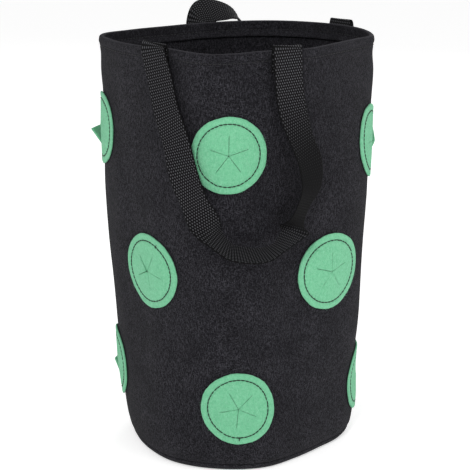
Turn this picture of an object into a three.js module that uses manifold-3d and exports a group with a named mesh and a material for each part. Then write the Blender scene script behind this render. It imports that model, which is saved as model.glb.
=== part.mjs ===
// A strawberry grow bag: a tall round bag of black felt with a turned-in hem, twelve green felt
// planting patches with a star cut in each, and two carrying handles of black webbing.
// Millimetres, +Z up. The origin is on the floor under the middle of the base. Azimuth is 0 at
// the front (-Y) and grows towards the right (+X).

import * as THREE from 'three';
import { mergeVertices } from 'three/addons/utils/BufferGeometryUtils.js';
import Module from 'manifold-3d';

const wasm = await Module();
wasm.setup();

// Driving dimensions
const bagHeight = 350;
const rimDiameter = 230;
const baseDiameter = 192;
const feltThickness = 2;
const clearance = 0.5; // between pieces that are sewn together

const hemDepth = 17; // how far the top edge is turned in
const hemStitchDepth = 8; // the hem's seam, below the rim
const hemSlot = 0.4; // between the wall and the hem where they are sewn
const hemFlare = 1.3; // how far the hem's free edge stands in from there
const stitchSink = 0.5; // how deep a seam pulls the felt in

const seamHeight = 6; // of the wall's lower edge above the floor
const flangeHeight = 10; // of the base's seam allowance inside the wall
const baseRounding = 5; // from the base's side to where it meets the floor

const patchDiameter = 61;
const patchThickness = 1.6;
const patchDome = 0.6; // how far a patch's middle stands out
const patchGap = 0.7; // of a patch on the curved wall
const patchStitchInset = 5.7; // of the ring of stitches from the patch's edge
const slitLength = 16; // of each arm of the star cut
const slitWidth = 0.8;
const starArms = 5;
const plantingHoleDiameter = 34; // in the wall behind each patch

const webbingWidth = 25;
const webbingThickness = 1.4;
const handleTuck = 17; // how far each handle end reaches down outside the rim
const handleGap = 1.1; // of a flat strap on the curved wall
const handleTurnRise = 3.6; // of the strap's turn above the rim
const handleTurnWidth = 4.2; // between the strap's middles before and after that turn

// Mesh fineness
const wallSegments = 60;
const holeSides = 10;
const columnsPerArm = 4;
const stationsPerRow = 2;

// The wall's side by height. Height is a share of the bag's height, fullness a share of the
// straight cone's radius there, and lean a share of the rim's radius towards +X.
const sections = [
  { height: 0.0, fullness: 0.985, lean: 0.0 },
  { height: 0.018, fullness: 0.998, lean: 0.0 },
  { height: 0.03, fullness: 1.012, lean: 0.0 },
  { height: 0.06, fullness: 1.028, lean: -0.004 },
  { height: 0.1, fullness: 1.032, lean: -0.009 },
  { height: 0.17, fullness: 1.024, lean: -0.022 },
  { height: 0.29, fullness: 1.03, lean: -0.027 },
  { height: 0.4, fullness: 1.032, lean: -0.032 },
  { height: 0.51, fullness: 1.036, lean: -0.038 },
  { height: 0.63, fullness: 1.036, lean: -0.034 },
  { height: 0.74, fullness: 1.024, lean: -0.022 },
  { height: 0.86, fullness: 1.008, lean: -0.018 },
  { height: 0.915, fullness: 1.006, lean: -0.021 },
  { height: 0.957, fullness: 0.994, lean: -0.026 },
  { height: 0.986, fullness: 1.0, lean: -0.027 },
  { height: 1.0, fullness: 0.994, lean: -0.027 },
];

// The bag's plan, which keeps the soft corners of its fold lines. Foot, middle and rim are
// shares of the side's radius at those heights; lift is a share of the hem's depth by which
// the rim stands above or below its mean height.
const plan = [
  { azimuth: -160, foot: 0.99, middle: 0.932, rim: 0.896, lift: -0.045 },
  { azimuth: -140, foot: 0.97, middle: 0.919, rim: 0.878, lift: -0.07 },
  { azimuth: -116, foot: 1.0, middle: 0.988, rim: 0.922, lift: -0.04 },
  { azimuth: -97, foot: 1.0, middle: 1.007, rim: 1.013, lift: 0.0 },
  { azimuth: -76, foot: 0.975, middle: 0.95, rim: 0.948, lift: 0.01 },
  { azimuth: -55, foot: 0.995, middle: 0.914, rim: 0.909, lift: 0.025 },
  { azimuth: -35, foot: 1.045, middle: 0.96, rim: 0.904, lift: 0.075 },
  { azimuth: -10, foot: 1.045, middle: 1.009, rim: 0.97, lift: -0.045 },
  { azimuth: 12, foot: 1.015, middle: 0.957, rim: 0.922, lift: 0.06 },
  { azimuth: 33, foot: 0.915, middle: 0.913, rim: 0.896, lift: 0.035 },
  { azimuth: 55, foot: 0.885, middle: 0.96, rim: 0.878, lift: 0.09 },
  { azimuth: 75, foot: 0.95, middle: 1.009, rim: 0.913, lift: 0.065 },
  { azimuth: 92, foot: 1.0, middle: 0.988, rim: 1.008, lift: 0.01 },
  { azimuth: 115, foot: 0.98, middle: 0.921, rim: 1.03, lift: 0.05 },
  { azimuth: 138, foot: 0.97, middle: 0.938, rim: 1.01, lift: 0.045 },
  { azimuth: 160, foot: 1.01, middle: 1.002, rim: 0.983, lift: 0.025 },
  { azimuth: 180, foot: 1.02, middle: 0.994, rim: 0.93, lift: 0.0 },
];
const wallRows = [0.035, 0.07, 0.115, 0.17, 0.25, 0.37, 0.5, 0.63, 0.76, 0.88]; // shares of the height
const footReach = 0.35; // share of the height in which the foot's plan gives way
const rimReach = 0.4; // share of the height in which the rim's plan takes over
const liftReach = 0.2; // share of the height over which the rim's lift fades out

// Where the patches are sewn on. Height is a share of the bag's height, size a share of the
// patch diameter; turn is the azimuth of the star's first arm on the patch, counted from its
// right side upwards.
const patches = [
  { name: 'patch_top_front', azimuth: -3.5, height: 0.771, size: 1.01, turn: 18 },
  { name: 'patch_top_right', azimuth: 83, height: 0.7535, size: 1, turn: 36 },
  { name: 'patch_top_rear', azimuth: 180, height: 0.77, size: 1, turn: 18 },
  { name: 'patch_top_left', azimuth: -89.5, height: 0.779, size: 1, turn: 36 },
  { name: 'patch_middle_front_right', azimuth: 48.8, height: 0.469, size: 1.06, turn: 18 },
  { name: 'patch_middle_rear_right', azimuth: 135, height: 0.47, size: 1, turn: 18 },
  { name: 'patch_middle_rear_left', azimuth: -135, height: 0.47, size: 1, turn: 18 },
  { name: 'patch_middle_front_left', azimuth: -43.5, height: 0.475, size: 1.03, turn: 60 },
  { name: 'patch_bottom_front', azimuth: 0.5, height: 0.163, size: 1, turn: 45 },
  { name: 'patch_bottom_right', azimuth: 90, height: 0.151, size: 1, turn: 36 },
  { name: 'patch_bottom_rear', azimuth: 180, height: 0.157, size: 1, turn: 18 },
  { name: 'patch_bottom_left', azimuth: -92.5, height: 0.186, size: 1, turn: 36 },
];

// The star's flaps that stand open. Flap 0 lies between the first arm and the second.
const openFlaps = [
  { patch: 'patch_top_left', flap: 2, degrees: 42 },
  { patch: 'patch_top_right', flap: 4, degrees: 11 },
  { patch: 'patch_bottom_left', flap: 2, degrees: 14 },
  { patch: 'patch_middle_front_left', flap: 1, degrees: 8 },
];

// The handles. Each row is a place of the strap's middle: azimuth, height as a share of the
// bag's height, stand-off from the wall as a share of the webbing's width, and roll, the turn
// in degrees of the strap's face about its run, from lying flat on the wall.
const handles = [
  {
    name: 'handle_front',
    start: { azimuth: -37, flops: true },
    end: { azimuth: 21.3, flops: true },
    route: [
      { azimuth: -34.1, height: 0.935, standOff: 0.23, roll: -3 },
      { azimuth: -30.1, height: 0.864, standOff: 0.28, roll: -5 },
      { azimuth: -24.7, height: 0.799, standOff: 0.32, roll: -4 },
      { azimuth: -20.6, height: 0.727, standOff: 0.37, roll: -7 },
      { azimuth: -15.4, height: 0.665, standOff: 0.42, roll: 6 },
      { azimuth: -11.2, height: 0.622, standOff: 0.5, roll: -26 },
      { azimuth: -7.4, height: 0.59, standOff: 0.56, roll: -64 },
      { azimuth: -1, height: 0.556, standOff: 0.6, roll: -72 },
      { azimuth: 10, height: 0.546, standOff: 0.61, roll: -79 },
      { azimuth: 17.2, height: 0.562, standOff: 0.62, roll: -94 },
      { azimuth: 22.6, height: 0.587, standOff: 0.58, roll: -80 },
      { azimuth: 24.6, height: 0.612, standOff: 0.54, roll: 22 },
      { azimuth: 27.4, height: 0.65, standOff: 0.56, roll: 30 },
      { azimuth: 30.2, height: 0.695, standOff: 0.63, roll: 15 },
      { azimuth: 29.4, height: 0.748, standOff: 0.61, roll: 7 },
      { azimuth: 26.4, height: 0.796, standOff: 0.5, roll: 11 },
      { azimuth: 22.9, height: 0.86, standOff: 0.36, roll: 1 },
      { azimuth: 21.8, height: 0.921, standOff: 0.23, roll: 1 },
    ],
  },
  {
    name: 'handle_rear',
    start: { azimuth: 130, flops: true },
    end: { azimuth: 198.5, flops: false },
    route: [
      { azimuth: 130.5, height: 0.93, standOff: 0.26, roll: 0 },
      { azimuth: 132, height: 0.85, standOff: 0.3, roll: 0 },
      { azimuth: 135, height: 0.76, standOff: 0.34, roll: -4 },
      { azimuth: 140, height: 0.68, standOff: 0.38, roll: -10 },
      { azimuth: 147, height: 0.615, standOff: 0.42, roll: -18 },
      { azimuth: 156, height: 0.59, standOff: 0.44, roll: -26 },
      { azimuth: 164, height: 0.61, standOff: 0.46, roll: -30 },
      { azimuth: 169.5, height: 0.67, standOff: 0.5, roll: -34 },
      { azimuth: 172.5, height: 0.75, standOff: 0.56, roll: -44 },
      { azimuth: 174.4, height: 0.84, standOff: 0.62, roll: -60 },
      { azimuth: 176, height: 0.925, standOff: 0.66, roll: -74 },
      { azimuth: 178, height: 0.985, standOff: 0.7, roll: -86 },
      { azimuth: 181.4, height: 1.012, standOff: 0.72, roll: -100 },
      { azimuth: 186.4, height: 1.022, standOff: 0.64, roll: -120 },
      { azimuth: 193.2, height: 1.024, standOff: 0.47, roll: -139 },
      { azimuth: 197.6, height: 1.011, standOff: 0.25, roll: -161 },
    ],
  },
];

// Finishes
const blackFelt = { color: 0x26262a, roughness: 0.95, metalness: 0 };
const greenFelt = { color: 0x78c898, roughness: 0.9, metalness: 0 };
const blackWebbing = { color: 0x1c1c1f, roughness: 0.6, metalness: 0 };

const radians = THREE.MathUtils.degToRad;
const rimRadius = rimDiameter / 2;
const baseRadius = baseDiameter / 2;

// Reads a column of a table at any place by a smooth curve through its rows. With a period
// the table closes on itself.
function readTable(rows, along, column, place, period = 0) {
  const count = rows.length;
  const row = (index) => {
    if (!period) return rows[THREE.MathUtils.clamp(index, 0, count - 1)];
    const turns = Math.floor(index / count);
    const source = rows[index - turns * count];
    return { [along]: source[along] + turns * period, [column]: source[column] };
  };
  let wanted = place;
  if (period) wanted = THREE.MathUtils.euclideanModulo(place - rows[0][along], period) + rows[0][along];
  let low = 0;
  while (low < count - 1 + (period ? 1 : 0) && row(low + 1)[along] <= wanted) low += 1;
  if (!period && low >= count - 1) return rows[count - 1][column];
  const [before, left, right, after] = [row(low - 1), row(low), row(low + 1), row(low + 2)];
  const span = right[along] - left[along];
  const slope = (from, to) => (to[column] - from[column]) / (to[along] - from[along] || 1);
  const slopeLeft = slope(before, right) * span;
  const slopeRight = slope(left, after) * span;
  const t = (wanted - left[along]) / span;
  const t2 = t * t;
  const t3 = t2 * t;
  return (2 * t3 - 3 * t2 + 1) * left[column] + (t3 - 2 * t2 + t) * slopeLeft
    + (3 * t2 - 2 * t3) * right[column] + (t3 - t2) * slopeRight;
}

// The wall's outer radius about the bag's leaning middle line.
function wallRadius(azimuth, height) {
  const share = THREE.MathUtils.clamp(height / bagHeight, 0, 1);
  const cone = baseRadius + (rimRadius - baseRadius) * share;
  const foot = 1 - THREE.MathUtils.smoothstep(share, 0, footReach);
  const rim = THREE.MathUtils.smoothstep(share, 1 - rimReach, 1);
  const planShare = (column) => readTable(plan, 'azimuth', column, azimuth, 360);
  const outline = planShare('middle') * (1 - foot - rim) + planShare('foot') * foot + planShare('rim') * rim;
  return cone * readTable(sections, 'height', 'fullness', share) * outline;
}

// A point at some inset in from the wall's outer surface, or outside it where that is negative.
function wallPoint(azimuth, height, inset = 0) {
  const share = THREE.MathUtils.clamp(height / bagHeight, 0, 1);
  const lean = rimRadius * readTable(sections, 'height', 'lean', share);
  const radius = wallRadius(azimuth, height) - inset;
  const lift = hemDepth * readTable(plan, 'azimuth', 'lift', azimuth, 360)
    * THREE.MathUtils.smoothstep(share, 1 - liftReach, 1);
  const angle = radians(azimuth);
  return new THREE.Vector3(lean + radius * Math.sin(angle), -radius * Math.cos(angle), height + lift);
}

// The direction in which the wall runs sideways, towards growing azimuth.
function wallSideways(azimuth, height) {
  return wallPoint(azimuth + 1, height).sub(wallPoint(azimuth - 1, height)).normalize();
}

// The wall's outward normal.
function wallNormal(azimuth, height) {
  const upwards = wallPoint(azimuth, Math.min(height, bagHeight - 2) + 1);
  upwards.sub(wallPoint(azimuth, Math.min(height, bagHeight - 2) - 1));
  return wallSideways(azimuth, height).cross(upwards).normalize();
}

function toGeometry(points, faces) {
  const geometry = new THREE.BufferGeometry();
  const positions = new Float32Array(points.length * 3);
  points.forEach((point, index) => point.toArray(positions, index * 3));
  geometry.setAttribute('position', new THREE.BufferAttribute(positions, 3));
  geometry.setIndex(faces.flat());
  geometry.computeVertexNormals();
  return geometry;
}

function toManifold(geometry) {
  const bare = geometry.clone();
  bare.deleteAttribute('normal');
  bare.deleteAttribute('uv');
  const merged = mergeVertices(bare, 1e-4);
  return new wasm.Manifold(new wasm.Mesh({
    numProp: 3,
    vertProperties: new Float32Array(merged.attributes.position.array),
    triVerts: new Uint32Array(merged.index.array),
  }));
}

function fromManifold(solid) {
  const mesh = solid.getMesh();
  const geometry = new THREE.BufferGeometry();
  geometry.setAttribute('position', new THREE.BufferAttribute(new Float32Array(mesh.vertProperties), 3));
  geometry.setIndex([...mesh.triVerts]);
  geometry.computeVertexNormals();
  return geometry;
}

function named(name, geometry, finish) {
  const mesh = new THREE.Mesh(geometry, new THREE.MeshStandardMaterial(finish));
  mesh.name = name;
  return mesh;
}

// Sweeps a closed profile of heights and insets round the bag. The profile runs up the
// outside, over the top and down the inside.
function sweepRound(profile) {
  const points = [];
  const faces = [];
  const rows = profile.length;
  for (let j = 0; j < wallSegments; j += 1) {
    const azimuth = (360 * j) / wallSegments;
    for (const { height, inset } of profile) points.push(wallPoint(azimuth, height, inset));
  }
  for (let j = 0; j < wallSegments; j += 1) {
    const here = j * rows;
    const next = ((j + 1) % wallSegments) * rows;
    for (let k = 0; k < rows; k += 1) {
      const up = (k + 1) % rows;
      faces.push([here + k, next + k, next + up], [here + k, next + up, here + up]);
    }
  }
  return toGeometry(points, faces);
}

// The wall: one felt sheet sewn into a tube, with its top edge turned in as a hem. The hem
// hangs free of the wall below its seam.
function makeWall() {
  const hemInset = feltThickness + hemSlot;
  const hemThickness = hemInset + feltThickness;
  const edgeHeight = bagHeight - hemDepth;
  const stitchHeight = bagHeight - hemStitchDepth;
  const hemRounding = feltThickness * 0.75;
  const innerRows = wallRows.filter((share, index) => index < 2 || index % 2 === 1).reverse();
  const profile = [
    { height: seamHeight + clearance, inset: 0 },
    ...wallRows.map((share) => ({ height: share * bagHeight, inset: 0 })),
    { height: stitchHeight, inset: stitchSink },
    { height: bagHeight - hemStitchDepth / 2, inset: -stitchSink / 2 },
    { height: bagHeight - hemRounding, inset: 0 },
    { height: bagHeight, inset: hemRounding },
    { height: bagHeight, inset: hemThickness - hemRounding },
    { height: bagHeight - hemRounding, inset: hemThickness },
    { height: stitchHeight, inset: hemThickness },
    { height: edgeHeight + hemRounding, inset: hemThickness + hemFlare },
    { height: edgeHeight, inset: hemThickness + hemFlare - hemRounding / 2 },
    { height: edgeHeight, inset: hemInset + hemFlare },
    { height: stitchHeight - feltThickness, inset: hemInset },
    { height: stitchHeight - feltThickness, inset: feltThickness },
    ...innerRows.map((share) => ({ height: share * bagHeight, inset: feltThickness })),
    { height: seamHeight + clearance, inset: feltThickness },
  ];
  let solid = toManifold(sweepRound(profile));
  for (const patch of patches) solid = solid.subtract(makeHoleCutter(patch));
  return fromManifold(solid);
}

// A short plug through the wall where a planting hole is.
function makeHoleCutter({ azimuth, height }) {
  const centre = wallPoint(azimuth, height * bagHeight, feltThickness / 2);
  const outward = wallNormal(azimuth, height * bagHeight);
  const reach = 6 * feltThickness;
  const plug = new THREE.CylinderGeometry(plantingHoleDiameter / 2, plantingHoleDiameter / 2, reach, holeSides);
  plug.applyQuaternion(new THREE.Quaternion().setFromUnitVectors(new THREE.Vector3(0, 1, 0), outward));
  plug.translate(centre.x, centre.y, centre.z);
  return toManifold(plug);
}

// The base: a felt disc whose edge turns up to the wall's lower edge and on inside it.
function makeBase() {
  const flangeInset = feltThickness + clearance;
  const top = seamHeight + clearance + flangeHeight;
  const flangeRows = wallRows.map((share) => share * bagHeight).filter((height) => height < top - 1);
  const profile = [
    { height: 0, inset: baseRounding },
    { height: seamHeight * 0.45, inset: baseRounding * 0.22 },
    { height: seamHeight, inset: 0.2 },
    { height: seamHeight, inset: flangeInset },
    ...flangeRows.map((height) => ({ height, inset: flangeInset })),
    { height: top, inset: flangeInset },
    { height: top, inset: flangeInset + feltThickness },
    { height: seamHeight * 0.8, inset: flangeInset + feltThickness },
    { height: feltThickness, inset: baseRounding + feltThickness },
  ];
  const points = [];
  const faces = [];
  const rows = profile.length;
  for (let j = 0; j < wallSegments; j += 1) {
    const azimuth = (360 * j) / wallSegments;
    for (const { height, inset } of profile) points.push(wallPoint(azimuth, height, inset));
  }
  const under = points.push(new THREE.Vector3(0, 0, 0)) - 1;
  const over = points.push(new THREE.Vector3(0, 0, feltThickness)) - 1;
  for (let j = 0; j < wallSegments; j += 1) {
    const here = j * rows;
    const next = ((j + 1) % wallSegments) * rows;
    for (let k = 0; k < rows - 1; k += 1) {
      faces.push([here + k, next + k, next + k + 1], [here + k, next + k + 1, here + k + 1]);
    }
    faces.push([under, next, here], [over, here + rows - 1, next + rows - 1]);
  }
  return toGeometry(points, faces);
}

// A planting patch: a felt disc laid on the wall and cut through in a star, so that it has a
// flap between each two arms.
function makePatch({ name, azimuth, height, size, turn }) {
  const radius = (patchDiameter * size) / 2;
  const stitchRadius = radius - patchStitchInset;
  const armStep = 360 / starArms;
  const slitHalfAngle = THREE.MathUtils.radToDeg(Math.asin(slitWidth / 2 / slitLength));
  const tipDistance = slitWidth / 2 / Math.sin(radians(armStep / 2));
  const hingeDistance = slitLength * Math.cos(radians(armStep / 2));
  const wallHeight = height * bagHeight;
  const degreesPerMillimetre = THREE.MathUtils.radToDeg(1 / wallRadius(azimuth, wallHeight));

  // Lays a point of the flat disc on the wall, at some depth in the felt from 0 to 1.
  const lay = (across, up, depth, out = 0) => {
    const share = Math.min(Math.hypot(across, up) / radius, 1);
    const dome = patchDome * (1 - share * share);
    const away = patchGap + depth * patchThickness + dome + out;
    return wallPoint(azimuth + across * degreesPerMillimetre, wallHeight + up, -away);
  };
  const points = [];
  const faces = [];
  const addPair = (across, up, sink = 0, out = 0) => {
    points.push(lay(across, up, 0, out), lay(across, up, 1, out - sink));
    return points.length - 2;
  };
  // A strip of felt between two rows of point pairs, front and back.
  const fill = (a, b, c) => faces.push([a + 1, b + 1, c + 1], [a, c, b]);
  const edge = (a, b) => faces.push([a, b, b + 1], [a, b + 1, a + 1]);

  const rings = [
    { radius, sink: 0 },
    { radius: stitchRadius, sink: stitchSink },
    { radius: slitLength, sink: 0 },
  ].map((ring) => {
    const ids = [];
    for (let arm = 0; arm < starArms; arm += 1) {
      const first = turn + arm * armStep + slitHalfAngle;
      const span = armStep - 2 * slitHalfAngle;
      for (let column = 0; column <= columnsPerArm; column += 1) {
        const angle = radians(first + (span * column) / columnsPerArm);
        ids.push(addPair(ring.radius * Math.cos(angle), ring.radius * Math.sin(angle), ring.sink));
      }
    }
    return ids;
  });
  const around = rings[0].length;
  for (let j = 0; j < around; j += 1) {
    const k = (j + 1) % around;
    edge(rings[0][j], rings[0][k]);
    for (let ring = 0; ring < rings.length - 1; ring += 1) {
      fill(rings[ring][j], rings[ring][k], rings[ring + 1][k]);
      fill(rings[ring][j], rings[ring + 1][k], rings[ring + 1][j]);
    }
  }

  const inner = rings[rings.length - 1];
  for (let arm = 0; arm < starArms; arm += 1) {
    const opened = openFlaps.find((row) => row.patch === name && row.flap === arm);
    const bend = radians(opened ? opened.degrees : 0);
    const bisector = radians(turn + (arm + 0.5) * armStep);
    // Turns a flat point of the flap about the line between its arms' ends.
    const fold = (along, beside) => {
      const past = Math.max(hingeDistance - along, 0);
      const kept = along + past * (1 - Math.cos(bend));
      const across = kept * Math.cos(bisector) - beside * Math.sin(bisector);
      const up = kept * Math.sin(bisector) + beside * Math.cos(bisector);
      return addPair(across, up, 0, past * Math.sin(bend));
    };
    const base = inner.slice(arm * (columnsPerArm + 1), (arm + 1) * (columnsPerArm + 1));
    const middle = base.map((id, column) => {
      const span = radians(armStep - 2 * slitHalfAngle);
      const angle = span * (column / columnsPerArm - 0.5);
      const along = (slitLength * Math.cos(angle) + tipDistance) / 2;
      return fold(along, (slitLength * Math.sin(angle)) / 2);
    });
    const tip = fold(tipDistance, 0);
    for (let column = 0; column < columnsPerArm; column += 1) {
      fill(base[column], base[column + 1], middle[column + 1]);
      fill(base[column], middle[column + 1], middle[column]);
      fill(middle[column], middle[column + 1], tip);
    }
    // The cut edges: down one side of the flap, round its tip and up the other.
    edge(middle[0], base[0]);
    edge(tip, middle[0]);
    edge(middle[columnsPerArm], tip);
    edge(base[columnsPerArm], middle[columnsPerArm]);
    // The blunt end of the slit beyond this flap.
    edge(inner[((arm + 1) * (columnsPerArm + 1)) % around], base[columnsPerArm]);
  }
  return toGeometry(points, faces);
}

// A handle: a flat strap, sewn on outside the rim by both ends and hanging along its route. An
// end that flops stands up past the rim and turns over outwards before it hangs.
function makeHandle({ start, end, route }) {
  const halfThickness = webbingThickness / 2;
  const sewnOff = handleGap + halfThickness;
  // A strap's way up from its sewn end, and over where it flops.
  const endRows = ({ azimuth, flops }, turnSign) => [
    { height: bagHeight - handleTuck, standOff: sewnOff },
    { height: bagHeight - handleTuck / 2, standOff: sewnOff },
    { height: bagHeight - handleTurnWidth / 2, standOff: sewnOff },
    ...(flops ? [
      { height: bagHeight + handleTurnRise, standOff: sewnOff + handleTurnWidth / 2 },
      { height: bagHeight - handleTurnWidth / 2, standOff: sewnOff + handleTurnWidth },
    ] : []),
  ].map(({ height, standOff }) => ({
    centre: wallPoint(azimuth, height, -standOff),
    across: wallSideways(azimuth, bagHeight).multiplyScalar(turnSign),
  }));
  const free = route.map(({ azimuth, height, standOff }) => (
    wallPoint(azimuth, height * bagHeight, -standOff * webbingWidth)));
  const freeRows = route.map(({ azimuth, height, roll }, index) => {
    const before = free[Math.max(index - 1, 0)];
    const after = free[Math.min(index + 1, free.length - 1)];
    const along = after.clone().sub(before).normalize();
    const across = along.clone().cross(wallNormal(azimuth, height * bagHeight)).normalize();
    return { centre: free[index], across: across.applyAxisAngle(along, radians(roll)) };
  });
  const rows = [...endRows(start, -1), ...freeRows, ...endRows(end, 1).reverse()];
  const centres = new THREE.CatmullRomCurve3(rows.map((row) => row.centre), false, 'catmullrom', 0.5);
  const acrosses = new THREE.CatmullRomCurve3(rows.map((row) => row.across), false, 'catmullrom', 0.5);

  const points = [];
  const faces = [];
  const stations = (rows.length - 1) * stationsPerRow;
  for (let index = 0; index <= stations; index += 1) {
    const place = index / stations;
    const centre = centres.getPoint(place);
    const along = centres.getTangent(place);
    const across = acrosses.getPoint(place);
    const facing = across.clone().cross(along).normalize();
    across.copy(along).cross(facing).normalize();
    for (const [side, face] of [[-1, -1], [-1, 1], [1, 1], [1, -1]]) {
      points.push(centre.clone()
        .addScaledVector(across, (side * webbingWidth) / 2)
        .addScaledVector(facing, face * halfThickness));
    }
  }
  for (let index = 0; index < stations; index += 1) {
    const here = index * 4;
    for (let corner = 0; corner < 4; corner += 1) {
      const next = (corner + 1) % 4;
      faces.push([here + corner, here + next, here + 4 + next], [here + corner, here + 4 + next, here + 4 + corner]);
    }
  }
  const last = stations * 4;
  faces.push([0, 3, 2], [0, 2, 1], [last, last + 1, last + 2], [last, last + 2, last + 3]);
  return toGeometry(points, faces);
}

const bag = new THREE.Group();
bag.add(named('bag_wall', makeWall(), blackFelt));
bag.add(named('bag_base', makeBase(), blackFelt));
for (const patch of patches) bag.add(named(patch.name, makePatch(patch), greenFelt));
for (const handle of handles) bag.add(named(handle.name, makeHandle(handle), blackWebbing));

export default bag;
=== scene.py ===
# A strawberry grow bag: the felt, the patches, the webbing and the thread, laid over the packed
# CAD frame. Lengths are millimetres here and metres in Blender. Azimuth is 0 at the front (-Y)
# and grows towards the right (+X).

import math

import bpy
import numpy as np
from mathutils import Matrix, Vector


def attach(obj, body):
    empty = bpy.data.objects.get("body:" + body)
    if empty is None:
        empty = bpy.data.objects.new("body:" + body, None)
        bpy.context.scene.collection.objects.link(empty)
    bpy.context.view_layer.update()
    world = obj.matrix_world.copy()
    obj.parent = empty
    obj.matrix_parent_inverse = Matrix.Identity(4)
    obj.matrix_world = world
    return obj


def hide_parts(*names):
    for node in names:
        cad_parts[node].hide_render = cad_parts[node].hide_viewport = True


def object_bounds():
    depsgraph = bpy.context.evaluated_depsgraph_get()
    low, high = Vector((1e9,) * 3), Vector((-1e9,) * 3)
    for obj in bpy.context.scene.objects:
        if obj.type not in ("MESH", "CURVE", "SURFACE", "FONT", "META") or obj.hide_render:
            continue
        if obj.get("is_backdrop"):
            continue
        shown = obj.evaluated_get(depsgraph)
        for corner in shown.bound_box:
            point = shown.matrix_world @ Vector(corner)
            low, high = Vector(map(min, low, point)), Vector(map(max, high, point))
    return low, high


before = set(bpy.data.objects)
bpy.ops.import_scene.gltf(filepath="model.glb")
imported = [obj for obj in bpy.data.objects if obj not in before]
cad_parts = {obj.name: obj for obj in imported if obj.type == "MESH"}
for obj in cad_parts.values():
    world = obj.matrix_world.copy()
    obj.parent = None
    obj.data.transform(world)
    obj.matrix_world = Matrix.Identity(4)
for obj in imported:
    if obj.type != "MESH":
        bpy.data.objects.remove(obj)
cad_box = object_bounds()

# The bag's sizes and tables, as in the part's source.
BAG_HEIGHT = 350.0
RIM_RADIUS = 115.0
BASE_RADIUS = 96.0
FELT = 2.0  # the black felt's thickness
CLEARANCE = 0.5  # between pieces that are sewn together
HEM_DEPTH = 17.0  # how far the top edge is turned in
HEM_STITCH = 8.0  # the hem's seam, below the rim
HEM_EDGE = 14.0  # the hem's lower edge, below the rim; the solids have it at HEM_DEPTH
HEM_SLOT = 0.4  # between the wall and the hem where they are sewn
HEM_FLARE = 1.3  # how far the hem's free edge stands in from there
STITCH_SINK = 0.5  # how deep a seam pulls the felt in
SEAM_HEIGHT = 6.0  # where the wall and the base are sewn together
FLANGE_HEIGHT = 10.0  # of the base's edge inside the wall, above that seam
BASE_ROUNDING = 5.0
PATCH_DIAMETER = 61.0
PATCH_THICKNESS = 1.6
PATCH_DOME = 0.6
PATCH_GAP = 0.7
PATCH_STITCH_INSET = 5.7
SLIT_LENGTH = 16.0
SLIT_WIDTH = 0.3  # the solids have 0.8
STAR_ARMS = 5
HOLE_RADIUS = 17.0
WEB_WIDTH = 25.0
WEB_THICKNESS = 1.4
HANDLE_TUCK = 17.0  # how far down from the rim a handle's end is sewn
HANDLE_GAP = 1.1
HANDLE_TURN_RISE = 3.6  # of the strap's turn above the rim
HANDLE_TURN_WIDTH = 4.2  # between the strap's middles before and after that turn
FOOT_REACH = 0.35  # shares of the height over which the plan turns into the foot's,
RIM_REACH = 0.4  # into the rim's,
LIFT_REACH = 0.2  # and over which the rim's lift fades

# height, fullness, lean
SECTIONS = [
    (0.0, 0.985, 0.0),
    (0.018, 0.998, 0.0),
    (0.03, 1.012, 0.0),
    (0.06, 1.028, -0.004),
    (0.1, 1.032, -0.009),
    (0.17, 1.024, -0.022),
    (0.29, 1.03, -0.027),
    (0.4, 1.032, -0.032),
    (0.51, 1.036, -0.038),
    (0.63, 1.036, -0.034),
    (0.74, 1.024, -0.022),
    (0.86, 1.008, -0.018),
    (0.915, 1.006, -0.021),
    (0.957, 0.994, -0.026),
    (0.986, 1.0, -0.027),
    (1.0, 0.994, -0.027),
]

# azimuth, foot, middle, rim, lift
PLAN = [
    (-160, 0.99, 0.932, 0.896, -0.045),
    (-140, 0.97, 0.919, 0.878, -0.07),
    (-116, 1.0, 0.988, 0.922, -0.04),
    (-97, 1.0, 1.007, 1.013, 0.0),
    (-76, 0.975, 0.95, 0.948, 0.01),
    (-55, 0.995, 0.914, 0.909, 0.025),
    (-35, 1.045, 0.96, 0.904, 0.075),
    (-10, 1.045, 1.009, 0.97, -0.045),
    (12, 1.015, 0.957, 0.922, 0.06),
    (33, 0.915, 0.913, 0.896, 0.035),
    (55, 0.885, 0.96, 0.878, 0.09),
    (75, 0.95, 1.009, 0.913, 0.065),
    (92, 1.0, 0.988, 1.008, 0.01),
    (115, 0.98, 0.921, 1.03, 0.05),
    (138, 0.97, 0.938, 1.01, 0.045),
    (160, 1.01, 1.002, 0.983, 0.025),
    (180, 1.02, 0.994, 0.93, 0.0),
]

# name, azimuth, height, size, turn
PATCHES = [
    ("patch_top_front", -3.5, 0.771, 1.01, 18),
    ("patch_top_right", 83, 0.7535, 1, 36),
    ("patch_top_rear", 180, 0.77, 1, 18),
    ("patch_top_left", -89.5, 0.779, 1, 36),
    ("patch_middle_front_right", 48.8, 0.469, 1.06, 18),
    ("patch_middle_rear_right", 135, 0.47, 1, 18),
    ("patch_middle_rear_left", -135, 0.47, 1, 18),
    ("patch_middle_front_left", -43.5, 0.475, 1.03, 60),
    ("patch_bottom_front", 0.5, 0.163, 1, 45),
    ("patch_bottom_right", 90, 0.151, 1, 36),
    ("patch_bottom_rear", 180, 0.157, 1, 18),
    ("patch_bottom_left", -92.5, 0.186, 1, 36),
]

# (patch, flap): degrees
OPEN_FLAPS = {
    ("patch_top_left", 2): 42,
    ("patch_top_right", 4): 11,
    ("patch_bottom_left", 2): 14,
    ("patch_middle_front_left", 1): 8,
}

# Patches whose seam ends in a knot that shows, and the knot's place on the ring in degrees
KNOTS = {"patch_bottom_front": -92, "patch_middle_front_left": 62, "patch_top_left": 200}

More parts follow.
